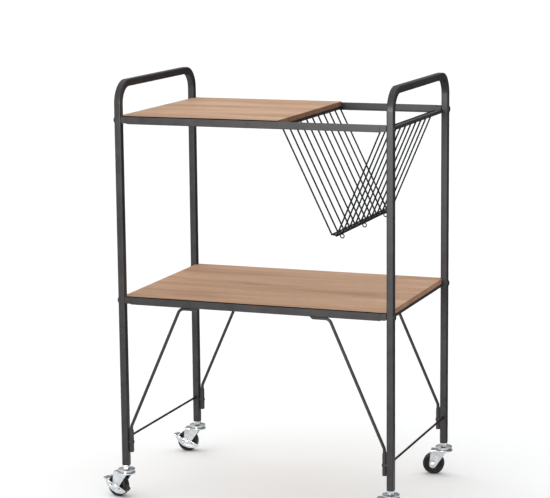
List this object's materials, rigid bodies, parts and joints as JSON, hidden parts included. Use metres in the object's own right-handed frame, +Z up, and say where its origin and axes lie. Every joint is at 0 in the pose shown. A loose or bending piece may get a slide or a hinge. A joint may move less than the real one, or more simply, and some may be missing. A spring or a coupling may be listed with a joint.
{
  "type": "kitchen trolley",
  "caption": "Narrow kitchen trolley: square-tube end frames with push handles, wooden shelves, a wire magazine basket and swivel casters with brakes.",
  "frame": {"origin": "on the floor, under the middle of the whole trolley's outline", "axes": "+X to the trolley's right, where the basket hangs, +Y to its back, +Z up"},
  "size_m": [0.5666, 0.3638, 0.7583],
  "materials": {
    "paint": "satin anthracite powder coat",
    "wood": "satin wood-grain laminate",
    "zinc": "bright zinc plate",
    "black_plastic": "satin moulded"
  },
  "bodies": {
    "frame": {"end_frame_left": "paint", "cross_rod_left": "paint", "end_frame_right": "paint", "cross_rod_right": "paint", "lower_shelf_frame": "paint", "upper_shelf_frame": "paint", "lower_board": "wood", "upper_board": "wood", "basket_left_side": "paint", "basket_right_side": "paint", "lower_board_screw_front_left": "zinc", "lower_board_screw_back_left": "zinc", "lower_board_screw_front_right": "zinc", "lower_board_screw_back_right": "zinc", "upper_board_screw_front_left": "zinc", "upper_board_screw_back_left": "zinc", "upper_board_screw_front_right": "zinc", "upper_board_screw_back_right": "zinc", "brace_front_left": "paint", "brace_screw_front_left": "paint", "lower_shelf_screw_front_left": "paint", "upper_shelf_screw_front_left": "paint", "caster_insert_front_left": "black_plastic", "caster_stem_front_left": "zinc", "brace_front_right": "paint", "brace_screw_front_right": "paint", "lower_shelf_screw_front_right": "paint", "upper_shelf_screw_front_right": "paint", "caster_insert_front_right": "black_plastic", "caster_stem_front_right": "zinc", "brace_back_left": "paint", "brace_screw_back_left": "paint", "lower_shelf_screw_back_left": "paint", "upper_shelf_screw_back_left": "paint", "caster_insert_back_left": "black_plastic", "caster_stem_back_left": "zinc", "brace_back_right": "paint", "brace_screw_back_right": "paint", "lower_shelf_screw_back_right": "paint", "upper_shelf_screw_back_right": "paint", "caster_insert_back_right": "black_plastic", "caster_stem_back_right": "zinc"},
    "fork_front_left": {"caster_fork_front_left": "zinc", "caster_axle_front_left": "zinc"},
    "wheel_front_left": {"caster_wheel_front_left": "black_plastic"},
    "fork_front_right": {"caster_fork_front_right": "zinc", "caster_axle_front_right": "zinc"},
    "wheel_front_right": {"caster_wheel_front_right": "black_plastic"},
    "fork_back_left": {"caster_fork_back_left": "zinc", "caster_axle_back_left": "zinc"},
    "wheel_back_left": {"caster_wheel_back_left": "black_plastic"},
    "fork_back_right": {"caster_fork_back_right": "zinc", "caster_axle_back_right": "zinc"},
    "wheel_back_right": {"caster_wheel_back_right": "black_plastic"},
    "brake_front_left": {"brake_lever_front_left": "zinc"},
    "brake_back_left": {"brake_lever_back_left": "zinc"}
  },
  "joints": [
    {"name": "swivel_front_left", "type": "hinge", "parent": "frame", "child": "fork_front_left", "pos_m": [-0.23527, -0.16565, 0.045], "axis": [0, 0, 1], "continuous": true},
    {"name": "roll_front_left", "type": "hinge", "parent": "fork_front_left", "child": "wheel_front_left", "pos_m": [-0.25378, -0.16137, 0.02], "axis": [-0.225, -0.9744, 0], "continuous": true},
    {"name": "swivel_front_right", "type": "hinge", "parent": "frame", "child": "fork_front_right", "pos_m": [0.26703, -0.16565, 0.045], "axis": [0, 0, 1], "continuous": true},
    {"name": "roll_front_right", "type": "hinge", "parent": "fork_front_right", "child": "wheel_front_right", "pos_m": [0.24826, -0.16862, 0.02], "axis": [0.1564, -0.9877, 0], "continuous": true},
    {"name": "swivel_back_left", "type": "hinge", "parent": "frame", "child": "fork_back_left", "pos_m": [-0.23527, 0.16565, 0.045], "axis": [0, 0, 1], "continuous": true},
    {"name": "roll_back_left", "type": "hinge", "parent": "fork_back_left", "child": "wheel_back_left", "pos_m": [-0.25413, 0.16334, 0.02], "axis": [0.1219, -0.9925, 0], "continuous": true},
    {"name": "swivel_back_right", "type": "hinge", "parent": "frame", "child": "fork_back_right", "pos_m": [0.26703, 0.16565, 0.045], "axis": [0, 0, 1], "continuous": true},
    {"name": "roll_back_right", "type": "hinge", "parent": "fork_back_right", "child": "wheel_back_right", "pos_m": [0.24826, 0.16268, 0.02], "axis": [0.1564, -0.9877, 0], "continuous": true},
    {"name": "brake_front_left", "type": "hinge", "parent": "fork_front_left", "child": "brake_front_left", "pos_m": [-0.25378, -0.16137, 0.02], "axis": [-0.225, -0.9744, 0], "range_deg": [0, 14]},
    {"name": "brake_back_left", "type": "hinge", "parent": "fork_back_left", "child": "brake_back_left", "pos_m": [-0.25413, 0.16334, 0.02], "axis": [0.1219, -0.9925, 0], "range_deg": [0, 14]}
  ]
}
